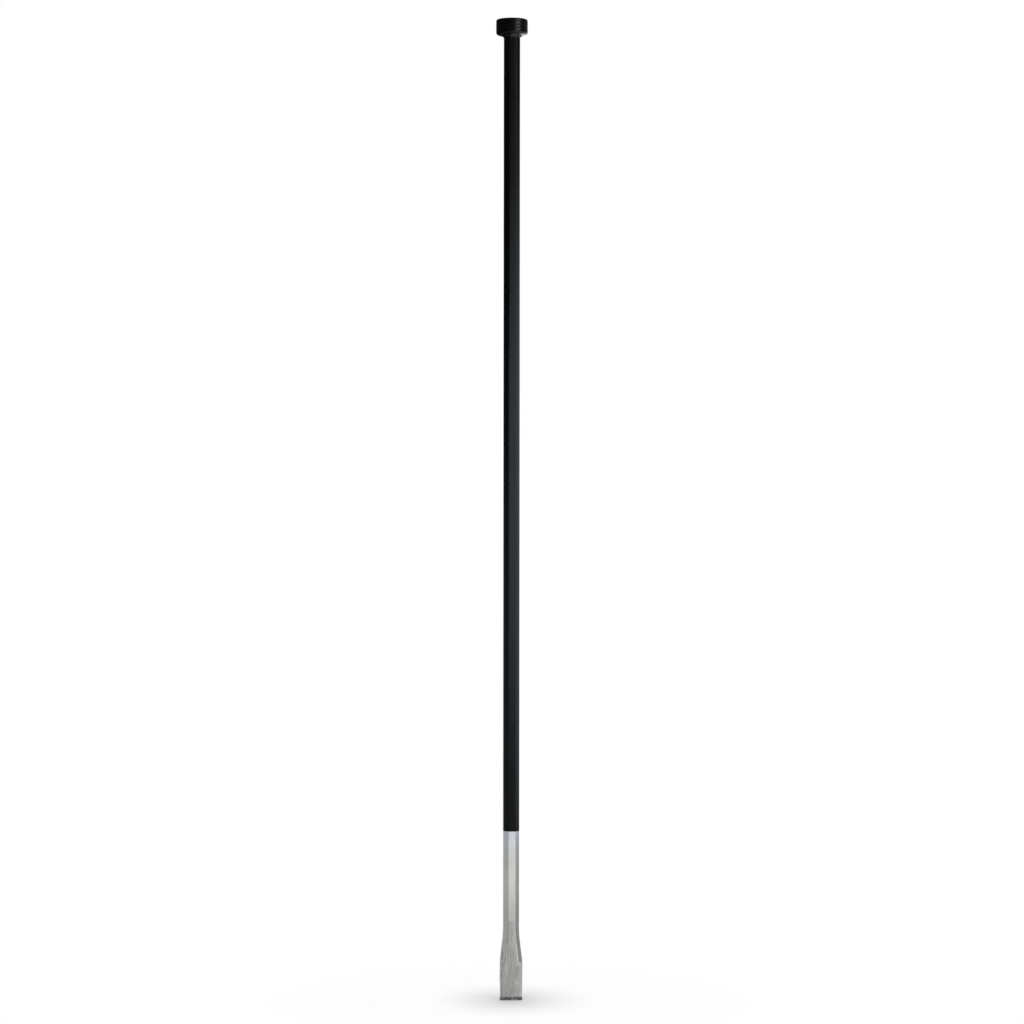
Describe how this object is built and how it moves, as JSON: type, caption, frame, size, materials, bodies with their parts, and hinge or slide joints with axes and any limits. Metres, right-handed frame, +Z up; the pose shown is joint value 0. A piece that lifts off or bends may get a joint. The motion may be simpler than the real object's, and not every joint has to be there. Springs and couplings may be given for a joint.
{
  "type": "digging bar",
  "caption": "Long octagonal steel digging bar with a forged flat chisel end, a round welded tamper head and a black coated shaft.",
  "frame": {"origin": "middle of the cutting edge, at the lowest point of the bar", "axes": "+Z up along the bar towards the tamper head; the broad faces of the blade look along -Y and +Y, its width is along X"},
  "size_m": [0.0564, 0.0564, 1.75],
  "materials": {
    "bare_steel": "ground and forged carbon steel, clear oiled",
    "head_steel": "forged carbon steel under the coat",
    "weld_steel": "fillet weld under the coat",
    "black_coat": "satin black powder coat"
  },
  "bodies": {
    "root": {"forged_bar": "bare_steel", "tamper_head": "head_steel", "head_weld": "weld_steel", "powder_coat": "black_coat"}
  },
  "joints": []
}
